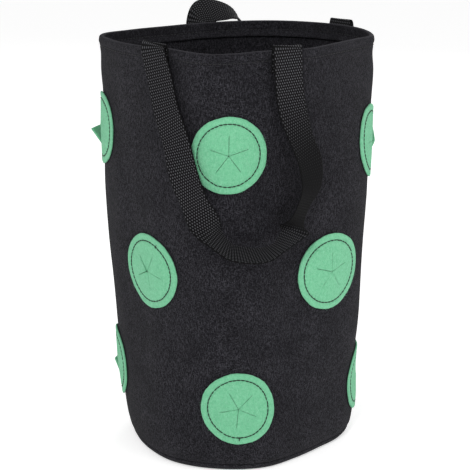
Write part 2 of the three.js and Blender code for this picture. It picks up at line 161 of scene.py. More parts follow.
# Each handle's ends (azimuth, whether it flops) and route (azimuth, height, stand-off, roll)
HANDLES = {
    "handle_front": {
        "start": (-37, True),
        "end": (21.3, True),
        "route": [
            (-34.1, 0.935, 0.23, -3),
            (-30.1, 0.864, 0.28, -5),
            (-24.7, 0.799, 0.32, -4),
            (-20.6, 0.727, 0.37, -7),
            (-15.4, 0.665, 0.42, 6),
            (-11.2, 0.622, 0.5, -26),
            (-7.4, 0.59, 0.56, -64),
            (-1, 0.556, 0.6, -72),
            (10, 0.546, 0.61, -79),
            (17.2, 0.562, 0.62, -94),
            (22.6, 0.587, 0.58, -80),
            (24.6, 0.612, 0.54, 22),
            (27.4, 0.65, 0.56, 30),
            (30.2, 0.695, 0.63, 15),
            (29.4, 0.748, 0.61, 7),
            (26.4, 0.796, 0.5, 11),
            (22.9, 0.86, 0.36, 1),
            (21.8, 0.921, 0.23, 1),
        ],
    },
    "handle_rear": {
        "start": (130, True),
        "end": (198.5, False),
        "route": [
            (130.5, 0.93, 0.26, 0),
            (132, 0.85, 0.3, 0),
            (135, 0.76, 0.34, -4),
            (140, 0.68, 0.38, -10),
            (147, 0.615, 0.42, -18),
            (156, 0.59, 0.44, -26),
            (164, 0.61, 0.46, -30),
            (169.5, 0.67, 0.5, -34),
            (172.5, 0.75, 0.56, -44),
            (174.4, 0.84, 0.62, -60),
            (176, 0.925, 0.66, -74),
            (178, 0.985, 0.7, -86),
            (181.4, 1.012, 0.72, -100),
            (186.4, 1.022, 0.64, -120),
            (193.2, 1.024, 0.47, -139),
            (197.6, 1.011, 0.25, -161),
        ],
    },
}

# share of the handle's length, the yarns' painted glint, painted light that pales the gaps between
# them
STRAP_PAINTED_LIGHT = {
    "handle_front": [
        (0.0, 1.0, 0.0),
        (0.34, 1.0, 0.0),
        (0.42, 0.9, 0.04),
        (0.5, 0.74, 0.2),
        (0.595, 0.74, 0.22),
        (0.615, 0.5, 0.0),
        (0.74, 0.62, 0.0),
        (0.86, 1.0, 0.0),
        (1.0, 1.0, 0.0),
    ],
    "handle_rear": [
        (0.0, 1.0, 0.0),
        (0.36, 1.0, 0.0),
        (0.46, 0.74, 0.0),
        (0.72, 0.74, 0.0),
        (0.84, 1.0, 0.0),
        (1.0, 1.0, 0.0),
    ],
}


# The wall's shape


def read_table(rows, column, place, period=0.0):
    """A smooth curve through a table's rows; with a period the table closes on itself."""
    xs = np.array([row[0] for row in rows], float)
    ys = np.array([row[column] for row in rows], float)
    place = np.asarray(place, float)
    if period:
        xs = np.concatenate([xs - period, xs, xs + period])
        ys = np.tile(ys, 3)
        start = rows[0][0]
        place = np.mod(place - start, period) + start
    low = np.clip(np.searchsorted(xs, place, side="right") - 1, 0, len(xs) - 2)
    before = np.clip(low - 1, 0, len(xs) - 1)
    after = np.clip(low + 2, 0, len(xs) - 1)
    span = xs[low + 1] - xs[low]
    slope_left = (ys[low + 1] - ys[before]) / (xs[low + 1] - xs[before]) * span
    slope_right = (ys[after] - ys[low]) / (xs[after] - xs[low]) * span
    t = np.clip((place - xs[low]) / span, 0, 1)
    t2 = t * t
    t3 = t2 * t
    return (
        (2 * t3 - 3 * t2 + 1) * ys[low]
        + (t3 - 2 * t2 + t) * slope_left
        + (3 * t2 - 2 * t3) * ys[low + 1]
        + (t3 - t2) * slope_right
    )


def smoothstep(x, low, high):
    t = np.clip((np.asarray(x, float) - low) / (high - low), 0, 1)
    return t * t * (3 - 2 * t)


def wall_radius(azimuth, height):
    share = np.clip(np.asarray(height, float) / BAG_HEIGHT, 0, 1)
    cone = BASE_RADIUS + (RIM_RADIUS - BASE_RADIUS) * share
    foot = 1 - smoothstep(share, 0, FOOT_REACH)
    rim = smoothstep(share, 1 - RIM_REACH, 1)
    outline = (
        read_table(PLAN, 2, azimuth, 360) * (1 - foot - rim)
        + read_table(PLAN, 1, azimuth, 360) * foot
        + read_table(PLAN, 3, azimuth, 360) * rim
    )
    return cone * read_table(SECTIONS, 1, share) * outline


def wall_point(azimuth, height, inset=0.0):
    """Points at an inset from the wall's outer surface, as an array of x, y, z."""
    azimuth, height, inset = np.broadcast_arrays(
        np.asarray(azimuth, float), np.asarray(height, float), np.asarray(inset, float)
    )
    share = np.clip(height / BAG_HEIGHT, 0, 1)
    lean = RIM_RADIUS * read_table(SECTIONS, 2, share)
    radius = wall_radius(azimuth, height) - inset
    lift = HEM_DEPTH * read_table(PLAN, 4, azimuth, 360) * smoothstep(share, 1 - LIFT_REACH, 1)
    angle = np.radians(azimuth)
    return np.stack([lean + radius * np.sin(angle), -radius * np.cos(angle), height + lift], -1)


def unit(vector):
    return vector / np.maximum(np.linalg.norm(vector, axis=-1, keepdims=True), 1e-12)


def wall_sideways(azimuth, height):
    azimuth = np.asarray(azimuth, float)
    return unit(wall_point(azimuth + 1, height) - wall_point(azimuth - 1, height))


def wall_normal(azimuth, height):
    height = np.minimum(height, BAG_HEIGHT - 2)
    upwards = wall_point(azimuth, height + 1) - wall_point(azimuth, height - 1)
    return unit(np.cross(wall_sideways(azimuth, height), upwards))


def rumple(azimuth, height):
    """The felt's soft unevenness, in millimetres inwards."""
    a = np.radians(np.asarray(azimuth, float))
    h = np.asarray(height, float)
    waves = (
        0.45 * np.sin(5 * a + h / 41 + 0.4)
        + 0.4 * np.sin(9 * a - h / 33 + 2.1)
        + 0.3 * np.sin(14 * a + h / 19 + 4.0)
        + 0.3 * np.sin(3 * a - h / 15 + 1.0)
        + 0.22 * np.sin(23 * a + h / 27 + 5.1)
    )
    fade = smoothstep(h, 6, 30) * (1 - 0.7 * smoothstep(h, 325, 345))
    return 0.45 * waves * fade


# Mesh helpers

MILLIMETRES = 1000  # in a metre


def new_mesh(name, points, faces, smooth=True, attributes=None):
    mesh = bpy.data.meshes.new(name)
    places = np.asarray(points, float) / MILLIMETRES
    mesh.from_pydata(places.tolist(), [], [tuple(f) for f in faces])
    if smooth:
        mesh.polygons.foreach_set("use_smooth", np.ones(len(mesh.polygons), bool))
    for key, values in (attributes or {}).items():
        layer = mesh.attributes.new(key, "FLOAT_VECTOR", "POINT")
        layer.data.foreach_set("vector", np.asarray(values, float).ravel())
    mesh.update()
    obj = bpy.data.objects.new(name, mesh)
    bpy.context.scene.collection.objects.link(obj)
    return obj


def finish_piece(obj, material, slot, *nodes):
    obj.data.materials.append(material)
    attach(obj, "root")
    if nodes:
        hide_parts(*nodes)
    return obj


def grid_faces(rows, columns, closed_rows=False, closed_columns=False, first=0, flip=False):
    """Quads over a grid of rows x columns points, stored row by row."""
    i = np.arange(rows if closed_rows else rows - 1)
    j = np.arange(columns if closed_columns else columns - 1)
    i, j = (g.ravel() for g in np.meshgrid(i, j, indexing="ij"))
    i2, j2 = (i + 1) % rows, (j + 1) % columns
    corners = [i * columns + j, i2 * columns + j, i2 * columns + j2, i * columns + j2]
    faces = np.stack(corners, -1) + first
    return faces[:, ::-1] if flip else faces


# Materials


class Shader:
    """A material's nodes, with short ways to add the ones that are used here."""

    def __init__(self, name, color, roughness, **constants):
        self.material = bpy.data.materials.new(name)
        self.material.use_nodes = True
        self.nodes = self.material.node_tree.nodes
        self.links = self.material.node_tree.links
        self.bsdf = self.nodes["Principled BSDF"]
        self.bsdf.inputs["Base Color"].default_value = (*color, 1)
        self.bsdf.inputs["Roughness"].default_value = roughness
        for key, value in constants.items():
            self.bsdf.inputs[key.replace("_", " ")].default_value = value

    def feed(self, socket, value):
        if isinstance(value, (int, float)):
            socket.default_value = value
        elif isinstance(value, tuple):
            socket.default_value = (*value, 1)
        else:
            self.links.new(value, socket)

    def place(self):
        return self.nodes.new("ShaderNodeTexCoord").outputs["Object"]

    def attribute(self, name):
        """A mesh attribute as a vector, and its three parts."""
        node = self.nodes.new("ShaderNodeAttribute")
        node.attribute_name = name
        parts = self.nodes.new("ShaderNodeSeparateXYZ")
        self.links.new(node.outputs["Vector"], parts.inputs["Vector"])
        return node.outputs["Vector"], parts.outputs

    def noise(self, place, scale, detail, roughness=0.5, stretch=(1, 1, 1), turn=(0, 0, 0)):
        mapping = self.nodes.new("ShaderNodeMapping")
        mapping.inputs["Scale"].default_value = stretch
        mapping.inputs["Rotation"].default_value = turn
        self.links.new(place, mapping.inputs["Vector"])
        noise = self.nodes.new("ShaderNodeTexNoise")
        noise.inputs["Scale"].default_value = scale
        noise.inputs["Detail"].default_value = detail
        noise.inputs["Roughness"].default_value = roughness
        self.links.new(mapping.outputs["Vector"], noise.inputs["Vector"])
        return noise.outputs["Fac"]

    def remap(self, value, low, high, out_low=0.0, out_high=1.0):
        node = self.nodes.new("ShaderNodeMapRange")
        self.feed(node.inputs["From Min"], low)
        self.feed(node.inputs["From Max"], high)
        self.feed(node.inputs["To Min"], out_low)
        self.feed(node.inputs["To Max"], out_high)
        self.links.new(value, node.inputs["Value"])
        return node.outputs["Result"]

    def math(self, operation, a, b):
        node = self.nodes.new("ShaderNodeMath")
        node.operation = operation
        self.feed(node.inputs[0], a)
        self.feed(node.inputs[1], b)
        return node.outputs["Value"]

    def mix(self, factor, low, high):
        node = self.nodes.new("ShaderNodeMix")
        node.data_type = "RGBA"
        self.feed(node.inputs["Factor"], factor)
        self.feed(node.inputs["A"], low)
        self.feed(node.inputs["B"], high)
        return node.outputs["Result"]

    def color(self, value):
        self.links.new(value, self.bsdf.inputs["Base Color"])

    def bump(self, height, distance, strength):
        node = self.nodes.new("ShaderNodeBump")
        node.inputs["Distance"].default_value = distance
        node.inputs["Strength"].default_value = strength
        self.links.new(height, node.inputs["Height"])
        self.links.new(node.outputs["Normal"], self.bsdf.inputs["Normal"])


# How the felt's fibres lie: turn and stretch of each layer's noise
FIBRE_LAYERS = [
    ((0.0, 0.0, 0.0), (1, 1, 0.16)),
    ((0.5, 0.3, 0.9), (1, 0.2, 1)),
    ((-0.6, 0.5, -0.5), (0.18, 1, 1)),
    ((0.9, -0.4, 0.3), (1, 1, 0.2)),
]


def felt_material(name, dark, mid, pale, streak, roughness, **constants):
    """Needle-punched felt: short fibres lying every way in a flat mat, darker in its pits."""
    felt = Shader(name, mid, roughness, **constants)
    place = felt.place()
    layers = [
        felt.noise(place, 1900, 1.0, stretch=stretch, turn=turn) for turn, stretch in FIBRE_LAYERS
    ]
    fibres = layers[0]
    for layer in layers[1:]:
        fibres = felt.math("MAXIMUM", fibres, layer)
    fibres = felt.remap(fibres, 0.56, 0.76)
    clumps = felt.remap(felt.noise(place, 420, 3.0, 0.65), 0.34, 0.68)
    clouds = felt.remap(felt.noise(place, 38, 2.0, 0.55), 0.3, 0.7)
    patchiness = felt.math("ADD", felt.math("MULTIPLY", clouds, 0.45), 0.7)
    amount = felt.math("MULTIPLY", felt.math("MULTIPLY", fibres, streak), patchiness)
    color = felt.mix(amount, felt.mix(clumps, dark, mid), pale)
    # Painted highlight: the rim's rounded top is painted paler where light catches it, and the
    # holes' cut edges are a little paler too.
    _, rim_highlight_and_pale_edges = felt.attribute("rim_highlight_and_pale_edges")
    highlight_and_paling = felt.math("MULTIPLY", rim_highlight_and_pale_edges["X"], felt.remap(clouds, 0.0, 1.0, 0.35, 0.8))
    felt.color(felt.mix(highlight_and_paling, color, pale))
    felt.bump(felt.math("ADD", fibres, clumps), 0.00035, 0.75)
    return felt.material


def thread_material(name, color, roughness):
    """Spun sewing thread: a fine twist along each stitch."""
    thread = Shader(name, color, roughness)
    twist = thread.noise(thread.place(), 3500, 1.0, stretch=(1, 1, 0.5), turn=(0.7, 0.2, 0.4))
    deep = tuple(c * 0.55 for c in color)
    thread.color(thread.mix(thread.remap(twist, 0.35, 0.65), deep, color))
    thread.bump(twist, 0.0001, 0.6)
    return thread.material


def webbing_material():
    """Coarse black webbing: glossy yarns, rougher in the gaps between them, with glints painted
    pale on the yarns' crowns and shade painted near black in the gaps.
    """
    web = Shader("black_webbing", (0.008, 0.008, 0.009), 0.35, Specular_IOR_Level=0.16)
    weave, parts = web.attribute("weave")
    raised = web.remap(parts["Z"], 0.4, 1.0)
    strands = web.noise(weave, 1.0, 2.0, 0.6, stretch=(9, 1.2, 0))
    # Painted glints and painted shade: pale on the yarns' crowns where light would glint, near
    # black in the gaps between them.
    shade = web.math("MULTIPLY", raised, web.remap(strands, 0.3, 0.7, 0.5, 1.0))
    web.color(web.mix(shade, (0.0012, 0.0012, 0.0015), (0.13, 0.13, 0.142)))
    web.links.new(web.remap(raised, 0.0, 1.0, 0.9, 0.32), web.bsdf.inputs["Roughness"])
    web.bump(strands, 0.00012, 0.5)
    return web.material


black_felt = felt_material(
    "black_felt",
    dark=(0.0032, 0.0032, 0.0039),
    mid=(0.0078, 0.0076, 0.0094),
    pale=(0.068, 0.066, 0.078),
    streak=0.75,
    roughness=0.92,
    Sheen_Weight=0.02,
    Sheen_Roughness=0.5,
    Specular_IOR_Level=0.06,
)
green_felt = felt_material(
    "green_felt",
    dark=(0.12, 0.41, 0.225),
    mid=(0.165, 0.49, 0.28),
    pale=(0.29, 0.63, 0.42),
    streak=0.5,
    roughness=0.9,
    Sheen_Weight=0.1,
    Sheen_Roughness=0.5,
    Specular_IOR_Level=0.15,
)
black_thread = thread_material("black_thread", (0.008, 0.008, 0.009), 0.6)
# The green thread's colour is darker than the thread, as painted shade along the seam's groove.
green_thread_with_painted_shade = thread_material("green_thread_with_painted_shade", (0.003, 0.018, 0.009), 0.75)
black_webbing = webbing_material()


# The wall

COLUMNS = 360
HEM_INSET = FELT + HEM_SLOT
HEM_THICKNESS = HEM_INSET + FELT
EDGE_HEIGHT = BAG_HEIGHT - HEM_EDGE
STITCH_HEIGHT = BAG_HEIGHT - HEM_STITCH
FOOT_HEIGHT = SEAM_HEIGHT + CLEARANCE
RIM_ROUNDING = 1.6
ROUNDING_HEIGHT = BAG_HEIGHT - RIM_ROUNDING
HOLE_SURROUND = 30.0  # the grid's points further from a hole's middle than this aren't its own


def outer_inset(height):
    """The seam's groove, the swell above it and the tuck at the foot seam."""
    groove = 1.5 * STITCH_SINK * np.exp(-(((height - STITCH_HEIGHT) / 1.2) ** 2))
    swell = -0.25 * np.exp(-(((height - BAG_HEIGHT + HEM_STITCH / 2) / 2.2) ** 2))
    tuck = 0.6 * np.exp(-(((height - FOOT_HEIGHT) / 1.2) ** 2))
    return groove + swell + tuck


def wall_profile():
    """The wall's section as rows of height and inset: up the outside, over the rim, down the
    hem and down the inside. The first rows and, from inner_first, the last are alike in height."""
    skin = np.concatenate([np.linspace(FOOT_HEIGHT, 12, 5), np.linspace(14.6, 330, 102)])
    below_rim = np.concatenate([np.linspace(332, 340, 6), np.linspace(341, ROUNDING_HEIGHT, 9)])
    profile = [(h, float(outer_inset(h))) for h in np.concatenate([skin, below_rim])]
    half = HEM_THICKNESS / 2
    for t in np.linspace(0, math.pi, 9)[1:-1]:
        profile.append((ROUNDING_HEIGHT + RIM_ROUNDING * math.sin(t), half - half * math.cos(t)))
    for h in np.linspace(ROUNDING_HEIGHT, EDGE_HEIGHT + 0.8, 13):
        flare = HEM_FLARE * float(smoothstep(STITCH_HEIGHT - h, 0, STITCH_HEIGHT - EDGE_HEIGHT))
        groove = 0.6 * math.exp(-(((h - STITCH_HEIGHT) / 1.3) ** 2))
        profile.append((float(h), HEM_THICKNESS + flare - groove))
    profile += [
        (EDGE_HEIGHT, HEM_THICKNESS + HEM_FLARE - 0.6),
        (EDGE_HEIGHT, HEM_INSET + HEM_FLARE + 0.3),
        (EDGE_HEIGHT + 2, HEM_INSET + HEM_FLARE * 0.5),
        (STITCH_HEIGHT - FELT, HEM_INSET),
        (STITCH_HEIGHT - FELT, FELT),
        (334, FELT),
    ]
    inner_first = len(profile)
    profile += [(float(h), FELT) for h in skin[::-1]]
    return np.array(profile), len(skin), inner_first


def cut_hole(grid_az, grid_h, quads, on_skin, patch_az, centre_h):
    """Moves the grid's points that lie round a patch's hole onto its edge. Returns which quads
    the hole takes away and which points are on its edge."""
    radius = float(wall_radius(patch_az, centre_h))
    across = (np.mod(grid_az - patch_az + 180, 360) - 180) * math.pi / 180 * radius
    up = grid_h - centre_h
    inside = (np.hypot(across, up) < HOLE_RADIUS) & on_skin[:, None]
    hit = inside.ravel()[quads].all(axis=1)
    near = np.abs(across.ravel()[quads[:, 0]]) < HOLE_SURROUND
    touched, spared = np.zeros(grid_az.size, bool), np.zeros(grid_az.size, bool)
    touched[quads[hit].ravel()] = True
    spared[quads[~hit & near].ravel()] = True
    edge = (touched & spared).reshape(grid_az.shape)
    distance = np.hypot(across[edge], up[edge])
    grid_az[edge] = patch_az + across[edge] / distance * HOLE_RADIUS / radius * 180 / math.pi
    grid_h[edge] = centre_h + up[edge] / distance * HOLE_RADIUS
    return hit, edge


def join_skins(faces, skin_rows, inner_first):
    """The faces of the holes' cut edges, from the outer skin to the same place on the inner."""
    edges = dict.fromkeys((a, b) for quad in faces for a, b in zip(quad, quad[1:] + quad[:1]))

    def across_the_felt(index):
        row, column = divmod(index, COLUMNS)
        return (inner_first + (skin_rows - 1 - row)) * COLUMNS + column

    return [
        (b, a, across_the_felt(a), across_the_felt(b))
        for a, b in edges
        if (b, a) not in edges and a // COLUMNS < skin_rows and b // COLUMNS < skin_rows
    ]


def make_wall():
    profile, skin_rows, inner_first = wall_profile()
    rows = len(profile)
    grid_az = np.repeat(np.arange(COLUMNS)[None, :] * 360.0 / COLUMNS, rows, 0)
    grid_h = np.repeat(profile[:, 0:1], COLUMNS, 1)
    grid_in = np.repeat(profile[:, 1:2], COLUMNS, 1)
    quads = grid_faces(rows, COLUMNS, closed_rows=True, closed_columns=True, flip=True)
    on_skin = np.zeros(rows, bool)
    on_skin[:skin_rows] = on_skin[inner_first:] = True
    keep = np.ones(len(quads), bool)
    rim_highlight_and_pale_edges = np.zeros((rows, COLUMNS, 3))
    hole_edges = []
    for _, patch_az, patch_h, _, _ in PATCHES:
        hit, edge = cut_hole(grid_az, grid_h, quads, on_skin, patch_az, patch_h * BAG_HEIGHT)
        keep &= ~hit
        hole_edges.append(edge)
    # Painted highlight along the rim's rounded top; the holes' cut edges are painted a little paler
    # as well.
    rim_highlight = np.exp(-(((grid_h - BAG_HEIGHT) / 0.5) ** 2)) * (grid_in < HEM_THICKNESS)
    rim_highlight_and_pale_edges[..., 0] = 0.6 * rim_highlight
    for edge in hole_edges:
        rim_highlight_and_pale_edges[edge, 0] = 0.5
    points = wall_point(grid_az, grid_h, grid_in + rumple(grid_az, grid_h)).reshape(-1, 3)
    faces = quads[keep].tolist()
    faces += join_skins(faces, skin_rows, inner_first)
    wall = new_mesh("felt_wall", points, faces, attributes={"rim_highlight_and_pale_edges": rim_highlight_and_pale_edges})
    return finish_piece(wall, black_felt, "black_felt", "bag_wall")


wall = make_wall()


# The base

BASE_COLUMNS = 240
DISC_RINGS = 14


def base_profile():
    """The base's section as rows of height and inset: from the floor out and up, over the edge
    inside the wall, and down to the bottom's upper face."""
    inner, top = FELT + CLEARANCE, FOOT_HEIGHT + FLANGE_HEIGHT
    profile = [
        (0.0, BASE_ROUNDING + 0.8),
        (0.25, BASE_ROUNDING - 0.9),
        (0.9, 2.6),
        (1.9, 1.4),
        (3.0, 0.7),
        (4.4, 0.3),
        (5.6, 0.35),
        (SEAM_HEIGHT, 0.9),
        (SEAM_HEIGHT, inner),
    ]
    profile += [(h, inner) for h in np.linspace(7.5, top - 0.4, 5)]
    profile += [(top, inner + 0.6), (top, inner + FELT - 0.5)]
    profile += [(h, inner + FELT) for h in np.linspace(top - 0.6, 5.4, 6)]
    profile += [(3.6, 5.2), (2.6, 6.1), (2.05, BASE_ROUNDING + FELT + 0.8)]
    return np.array(profile)


def make_base():
    profile = base_profile()
    rows = len(profile)
    azimuths = np.repeat(np.arange(BASE_COLUMNS)[None, :] * 360.0 / BASE_COLUMNS, rows, 0)
    points = wall_point(azimuths, profile[:, 0:1], profile[:, 1:2]).reshape(-1, 3)
    faces = grid_faces(rows, BASE_COLUMNS, closed_columns=True, flip=True).tolist()
    shares = np.linspace(1, 0, DISC_RINGS + 1)[1:-1]
    for underside, row, level in ((True, 0, 0.0), (False, rows - 1, FELT)):
        before = np.arange(BASE_COLUMNS) + row * BASE_COLUMNS
        ring, first = points[before], len(points)
        levels = np.full(BASE_COLUMNS, level)
        rings = [np.column_stack([ring[:, :2] * share, levels]) for share in shares]
        points = np.vstack([points, *rings, [[0, 0, level]]])
        for k in range(len(shares)):
            after = first + k * BASE_COLUMNS + np.arange(BASE_COLUMNS)
            quad = np.stack([before, np.roll(before, -1), np.roll(after, -1), after], -1)
            faces += (quad[:, ::-1] if underside else quad).tolist()
            before = after
        centre = np.full(BASE_COLUMNS, len(points) - 1)
        fan = np.stack([before, np.roll(before, -1), centre], -1)
        faces += (fan[:, ::-1] if underside else fan).tolist()
    base = new_mesh("felt_base", points, faces)
    return finish_piece(base, black_felt, "black_felt", "bag_base")


base = make_base()


# Thread


class Stitches:
    """Short stitches of round thread gathered into one mesh."""

    def __init__(self, sides=6, rings=5):
        self.sides, self.rings = sides, rings
        self.points, self.faces = [], []

    def add(self, start, end, outward, thickness, rise):
        start, end, outward = (np.asarray(v, float) for v in (start, end, outward))
        along = unit(end - start)
        out = unit(outward - along * np.dot(outward, along))
        bows = np.sin(np.linspace(0, math.pi, self.rings))
        steps = np.arange(self.rings) / (self.rings - 1)
        path = [start + (end - start) * step + out * (rise * bow) for step, bow in zip(steps, bows)]
        self.tube(path, out, [thickness / 2 * (0.45 + 0.55 * bow**0.6) for bow in bows])

    def hair(self, start, direction, outward, length, thickness):
        """A stray fibre: it stands off at its root and curls back to the surface."""
        direction = unit(direction + outward * random.uniform(0.2, 0.9))
        sideways = np.cross(direction, outward) * random.uniform(-0.6, 0.6)
        shares = np.linspace(0, 1, self.rings)
        curl = sideways - 0.45 * outward
        path = [start + length * (t * direction + t * t * curl) for t in shares]
        self.tube(path, outward, [thickness / 2 * (1 - 0.7 * t) for t in shares])

    def tube(self, path, outward, radii):
        path = np.asarray(path, float)
        along = unit(np.gradient(path, axis=0))
        first = len(self.points)
        for centre, way, radius in zip(path, along, radii):
            beside = unit(np.cross(way, outward))
            out = np.cross(beside, way)
            for m in range(self.sides):
                angle = 2 * math.pi * m / self.sides
                spoke = math.cos(angle) * beside + math.sin(angle) * out
                self.points.append(centre + radius * spoke)
        for k in range(len(path) - 1):
            for m in range(self.sides):
                n = (m + 1) % self.sides
                a, b = first + k * self.sides, first + (k + 1) * self.sides
                self.faces.append((a + m, a + n, b + n, b + m))
        self.faces.append(tuple(first + m for m in reversed(range(self.sides))))
        last = first + (len(path) - 1) * self.sides
        self.faces.append(tuple(last + m for m in range(self.sides)))

    def build(self, name, material, slot):
        return finish_piece(new_mesh(name, self.points, self.faces), material, slot)


random = np.random.default_rng(7)


# The planting patches

ARM_STEP = 360 / STAR_ARMS
SLIT_HALF = math.degrees(math.asin(SLIT_WIDTH / 2 / SLIT_LENGTH))
FLAP_SPAN = ARM_STEP - 2 * SLIT_HALF
FLAP_TIP = SLIT_WIDTH / 2 / math.sin(math.radians(ARM_STEP / 2))
FLAP_HINGE = SLIT_LENGTH * math.cos(math.radians(ARM_STEP / 2))
PER_ARM = 14  # the disc's grid between two arms
FLAP_ROWS = 7
STITCH_PITCH = 3.5
STITCH_HALF = 1.72
STITCH_THICKNESS = 1.0
EDGE_FIBRES = 16


class Patch:
    """A felt disc laid on the wall, with its star, its seam and its fuzzy edge."""

    def __init__(self, name, azimuth, height, size, turn):
        self.name, self.azimuth, self.turn = name, azimuth, turn
        self.diameter = PATCH_DIAMETER * size
        self.radius = self.diameter / 2
        self.stitch_radius = self.radius - PATCH_STITCH_INSET
        self.centre_h = height * BAG_HEIGHT
        self.per_mm = 180 / math.pi / float(wall_radius(azimuth, self.centre_h))
        self.middle = wall_normal(azimuth, self.centre_h)
        self.wobble = random.uniform(0, 6.28, 3)

    def lay(self, across, up, depth, out=0.0):
        """Lays flat places on the wall, at a depth in the felt from 0, its back, to 1."""
        across, up = np.asarray(across, float), np.asarray(up, float)
        share = np.minimum(np.hypot(across, up) / self.radius, 1)
        dome = PATCH_DOME * (1 - share * share)
        off_seam = (share * self.radius - self.stitch_radius) / 1.15
        groove = STITCH_SINK * 1.3 * np.exp(-(off_seam**2))
        edge = 0.5 * smoothstep(share * self.radius, self.radius - 1.1, self.radius)
        front = depth * (PATCH_THICKNESS - groove - edge)
        away = PATCH_GAP + front + (1 - depth) * 0.4 * edge + dome + out
        azimuth = self.azimuth + across * self.per_mm
        height = self.centre_h + up
        return wall_point(azimuth, height, rumple(azimuth, height) - away)

    def lay_at(self, radius, angle, out=0.0):
        return self.lay(radius * math.cos(angle), radius * math.sin(angle), 1.0, out)

    def rough(self, angle):
        """The cut edge's unevenness, as a factor of the radius."""
        first, second, third = self.wobble
        return 1 + 0.0035 * (
            math.sin(7 * angle + first)
            + math.sin(13 * angle + second)
            + 0.8 * math.sin(31 * angle + third)
        )

    def fold(self, arm):
        """How a flap turns up: a flat place by its bisector gives across, up and out."""
        opened = OPEN_FLAPS.get((self.name, arm), 0)
        # Even a closed flap stands a little proud at its tip.
        bend = math.radians(opened or 1.6 + 1.4 * random.random())
        bisector = math.radians(self.turn + (arm + 0.5) * ARM_STEP)

        def place(along, beside):
            past = max(FLAP_HINGE - along, 0)
            curl = bend if opened else bend * (0.4 + 0.6 * past / FLAP_HINGE)
            reach = along + past * (1 - math.cos(curl))
            across = reach * math.cos(bisector) - beside * math.sin(bisector)
            up = reach * math.sin(bisector) + beside * math.cos(bisector)
            return (across, up, past * math.sin(curl))

        return place

    def flat_grid(self):
        """The disc's points (across, up, out), its faces, its outer edge and its cut edge."""
        points, faces = [], []
        radii = np.concatenate([
            [self.radius],
            np.linspace(self.radius - 0.35, self.stitch_radius + 1.8, 6),
            np.linspace(self.stitch_radius + 1.2, self.stitch_radius - 1.2, 7),
            np.linspace(self.stitch_radius - 2, SLIT_LENGTH, 6),
        ])
        fronts = []
        for k, r in enumerate(radii):
            fronts.append([])
            for arm in range(STAR_ARMS):
                first = self.turn + arm * ARM_STEP + SLIT_HALF
                for column in range(PER_ARM + 1):
                    a = math.radians(first + FLAP_SPAN * column / PER_ARM)
                    rough = self.rough(a) if k == 0 else 1.0
                    fronts[-1].append(len(points))
                    points.append((r * rough * math.cos(a), r * rough * math.sin(a), 0.0))
        for outer, inner in zip(fronts, fronts[1:]):
            for j in range(len(outer)):
                n = (j + 1) % len(outer)
                faces.append((outer[j], outer[n], inner[n], inner[j]))
        cut_edge = []
        for arm in range(STAR_ARMS):
            base_row = fronts[-1][arm * (PER_ARM + 1) : (arm + 1) * (PER_ARM + 1)]
            cut_edge += self.flap(points, faces, arm, base_row)
        return np.array(points), faces, fronts[0], cut_edge

    def flap(self, points, faces, arm, previous):
        """Adds one flap, and returns its cut edge down one side, round its tip and back."""
        place = self.fold(arm)
        first_side, last_side = [previous[0]], [previous[-1]]
        for step in range(1, FLAP_ROWS + 1):
            s = step / FLAP_ROWS
            if step == FLAP_ROWS:
                row = [len(points)] * (PER_ARM + 1)
                points.append(place(FLAP_TIP, 0))
            else:
                row = list(range(len(points), len(points) + PER_ARM + 1))
                for column in range(PER_ARM + 1):
                    angle = math.radians(FLAP_SPAN) * (column / PER_ARM - 0.5)
                    along = SLIT_LENGTH * math.cos(angle) * (1 - s) + FLAP_TIP * s
                    points.append(place(along, SLIT_LENGTH * math.sin(angle) * (1 - s)))
            for j in range(PER_ARM):
                face = (previous[j], previous[j + 1], row[j + 1], row[j])
                faces.append(tuple(dict.fromkeys(face)))
            previous = row
            first_side.append(row[0])
            last_side.append(row[-1])
        return first_side + last_side[::-1][1:]

    def disc(self):
        flat, faces, outer_edge, cut_edge = self.flat_grid()
        front = self.lay(flat[:, 0], flat[:, 1], 1.0, flat[:, 2])
        back = self.lay(flat[:, 0], flat[:, 1], 0.0, flat[:, 2])
        count = len(flat)
        faces += [tuple(i + count for i in reversed(face)) for face in faces]
        for a, b in zip(outer_edge, outer_edge[1:] + outer_edge[:1]):
            faces.append((a, a + count, b + count, b))
        for a, b in zip(cut_edge, cut_edge[1:] + cut_edge[:1]):
            if a != b:
                faces.append((a, b, b + count, a + count))
        disc = new_mesh("felt_" + self.name, np.vstack([front, back]), faces)
        return finish_piece(disc, green_felt, "green_felt", self.name)

    def seam(self):
        ring = Stitches()
        count = int(round(2 * math.pi * self.stitch_radius / STITCH_PITCH))
        half_angle = STITCH_HALF / self.stitch_radius
        for k in range(count):
            centre = 2 * math.pi * (k + 0.15 * random.random()) / count
            start, end = (
                self.lay_at(self.stitch_radius + 0.12 * random.normal(), a, 0.02)
                for a in (centre - half_angle, centre + half_angle)
            )
            ring.add(start, end, self.middle, STITCH_THICKNESS, 0.25)
        if self.name in KNOTS:
            self.knot(ring, math.radians(KNOTS[self.name]))
        return ring

    def knot(self, ring, angle):
        """Where the seam starts and ends it is sewn over, and a cut end is left."""
        knot = self.lay_at(self.stitch_radius, angle, 0.3)
        cut_end = self.lay_at(self.radius - 3, angle, 0.3)
        sideways = 1.1 * unit(np.cross(cut_end - knot, self.middle))
        for way in (-1, 0, 1):
            start = knot - sideways + 0.25 * way * self.middle
            ring.add(start, knot + sideways, self.middle, 0.9, 0.5)
        ring.add(knot, cut_end, self.middle, 0.7, 0.5)

    def fuzz(self):
        fuzz = Stitches(sides=3)
        for _ in range(EDGE_FIBRES):
            a = random.uniform(0, 2 * math.pi)
            r = self.radius - random.uniform(0, 1.2)
            root = self.lay_at(r, a, -0.1)
            along = unit(self.lay_at(r + 1, a + 0.03, -0.1) - root)
            fuzz.hair(root, along, self.middle, random.uniform(1.2, 3.2), 0.16)
        return fuzz

